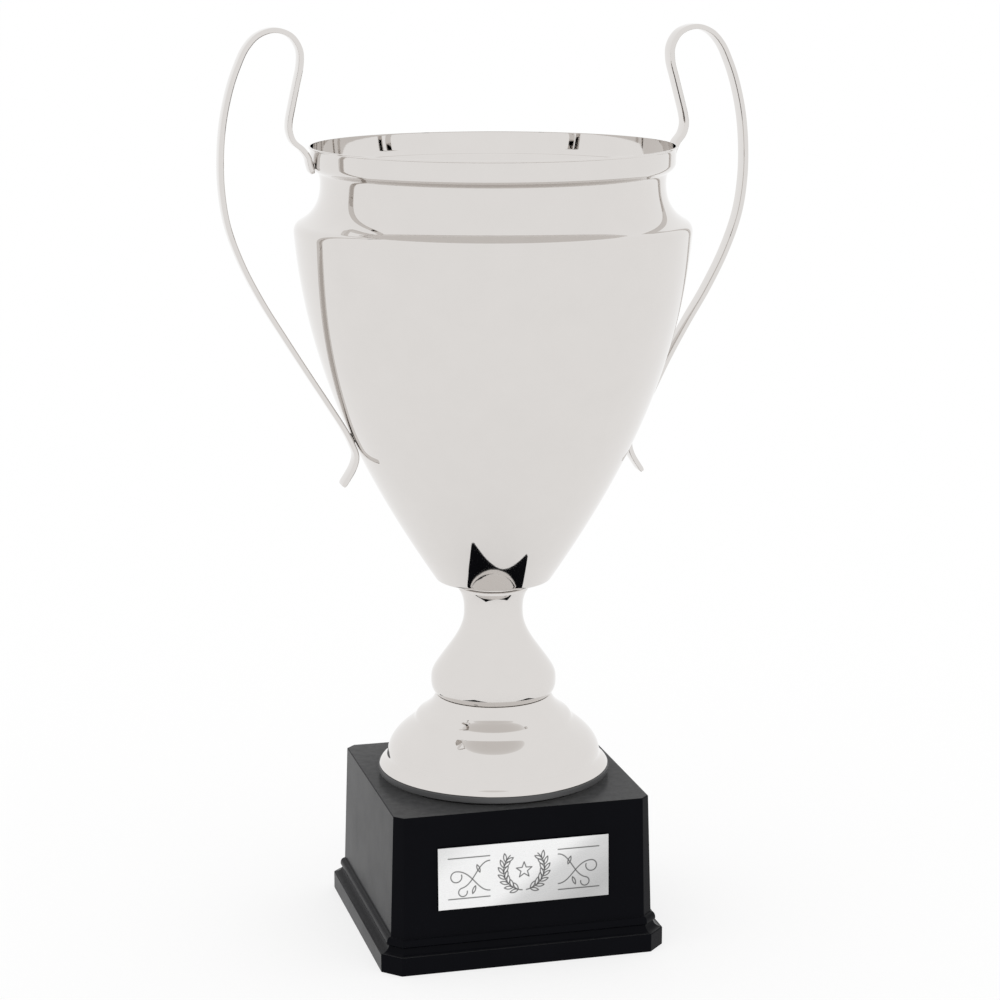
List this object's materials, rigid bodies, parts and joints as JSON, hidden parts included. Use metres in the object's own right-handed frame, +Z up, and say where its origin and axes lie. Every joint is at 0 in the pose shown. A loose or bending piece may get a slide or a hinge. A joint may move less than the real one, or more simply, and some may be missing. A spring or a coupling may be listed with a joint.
{
  "type": "cup trophy",
  "caption": "Tall polished silver cup trophy with high looped handles, bulb stem and domed foot on a black plinth with a blank engraving plate.",
  "frame": {"origin": "centre of the plinth's underside, on the surface that the trophy stands on", "axes": "+Z up along the cup's axis, -Y out of the plinth's front face with the engraving plate, +X towards the right handle"},
  "size_m": [0.2664, 0.1958, 0.4561],
  "materials": {
    "polished_silver": "mirror-polished silver plate on spun metal",
    "black_plastic": "polished black moulded plastic",
    "riser_plastic": "satin charcoal moulded plastic",
    "plate_silver": "satin silver plate, finely brushed",
    "zinc_steel": "zinc-plated steel fastener",
    "raw_steel": "dull rolled steel",
    "white_plastic": "natural white moulded plastic",
    "gasket_fibre": "dark vulcanised fibre washer",
    "foam_tape": "white double-sided foam tape",
    "fibre_board": "brown pressed fibre board",
    "black_felt": "black non-slip felt"
  },
  "bodies": {
    "root": {"bowl": "polished_silver", "left_handle": "polished_silver", "right_handle": "polished_silver", "stem_collar": "polished_silver", "stem": "polished_silver", "foot": "polished_silver", "riser_disc": "riser_plastic", "plinth": "black_plastic", "tie_rod": "zinc_steel", "bowl_gasket": "gasket_fibre", "bowl_washer": "zinc_steel", "bowl_nut": "zinc_steel", "stem_bush": "white_plastic", "ballast_plate": "raw_steel", "ballast_washer": "zinc_steel", "spring_washer": "zinc_steel", "base_nut": "zinc_steel", "plate_adhesive_pad": "foam_tape", "engraving_plate": "plate_silver", "base_board": "fibre_board", "base_screw_1": "zinc_steel", "base_screw_2": "zinc_steel", "base_screw_3": "zinc_steel", "base_screw_4": "zinc_steel", "base_felt": "black_felt"}
  },
  "joints": []
}
